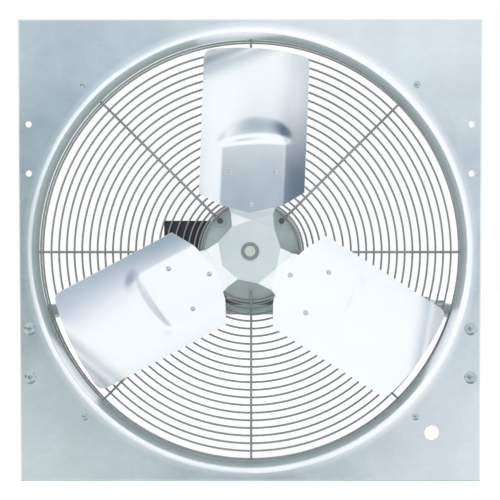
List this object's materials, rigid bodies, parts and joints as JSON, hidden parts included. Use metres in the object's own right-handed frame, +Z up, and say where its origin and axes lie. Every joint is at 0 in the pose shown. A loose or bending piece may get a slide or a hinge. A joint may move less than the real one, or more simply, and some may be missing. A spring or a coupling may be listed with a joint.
{
  "type": "whole house fan",
  "caption": "Direct-drive panel fan: square flanged panel with drawn venturi, riveted sheet-blade propeller, motor on a bracketed shelf, wiring box and domed wire guard.",
  "frame": {"origin": "where the fan's axis crosses the front face of the panel, the seat the fan is fixed by", "axes": "+Z up, +Y along the fan axis towards the motor and the air intake, -Y the way the air leaves, +X to the right seen from the discharge side"},
  "size_m": [0.6984, 0.3608, 0.6984],
  "materials": {
    "galvanised": "hot-dip galvanised sheet with faint spangle, satin",
    "bracket_steel": "galvanised plate, satin",
    "guard_wire": "zinc-plated wire, dull grey",
    "zinc_fasteners": "bright zinc plating",
    "motor_paint": "grey machine paint, satin",
    "bell_casting": "die casting, grey machine paint",
    "dark_steel": "blackened steel",
    "laminations": "stacked electrical steel, varnished",
    "copper": null,
    "cast_aluminium": "as cast",
    "black_plastic": "moulded",
    "bronze": null,
    "felt": "oiled felt",
    "black_paint": "black paint, satin",
    "capacitor_can": "drawn can, dull",
    "terminal_plastic": "moulded",
    "grommet_rubber": "moulded",
    "lead_insulation": "wire insulation",
    "green_screw": "green ground screw",
    "shaft_steel": "ground steel",
    "hub_steel": "turned steel, zinc plated",
    "washer_plastic": "moulded",
    "spider_plate": "plated plate, satin",
    "blade_aluminium": "rolled sheet, bright with fine rolling marks",
    "rivet_aluminium": "bright"
  },
  "bodies": {
    "housing": {"venturi_panel": "galvanised", "guard_face_rings": "guard_wire", "guard_dish_rings": "guard_wire", "guard_side_rings": "guard_wire", "guard_spokes": "guard_wire", "guard_screws": "zinc_fasteners", "guard_washers": "zinc_fasteners", "guard_nuts": "zinc_fasteners", "motor_shelf": "bracket_steel", "left_bracket": "bracket_steel", "right_bracket": "bracket_steel", "bracket_bolts": "zinc_fasteners", "bracket_nuts": "zinc_fasteners", "shelf_bolts": "zinc_fasteners", "shelf_nuts": "zinc_fasteners", "motor_base": "motor_paint", "base_bolts": "zinc_fasteners", "base_nuts": "zinc_fasteners", "motor_shell": "motor_paint", "front_end_bell": "bell_casting", "rear_end_bell": "bell_casting", "through_bolts": "dark_steel", "through_bolt_nuts": "dark_steel", "stator_core": "laminations", "stator_windings": "copper", "overload_protector": "black_plastic", "front_bearing": "bronze", "rear_bearing": "bronze", "felt_seals": "felt", "wiring_box": "black_paint", "wiring_box_cover": "black_paint", "cover_screws": "zinc_fasteners", "box_screws": "zinc_fasteners", "run_capacitor": "capacitor_can", "capacitor_strap": "zinc_fasteners", "terminal_block": "terminal_plastic", "lead_grommet": "grommet_rubber", "motor_leads": "lead_insulation", "ground_screw": "green_screw"},
    "rotor": {"shaft": "shaft_steel", "rotor_core": "laminations", "rotor_end_rings": "cast_aluminium", "thrust_washers": "washer_plastic", "hub": "hub_steel", "hub_set_screws": "dark_steel", "spider": "spider_plate", "top_blade": "blade_aluminium", "left_blade": "blade_aluminium", "right_blade": "blade_aluminium", "blade_rivets": "rivet_aluminium"}
  },
  "joints": [
    {"name": "prop_spin", "type": "hinge", "parent": "housing", "child": "rotor", "pos_m": [0, 0, 0], "axis": [0, -1, 0], "continuous": true}
  ]
}
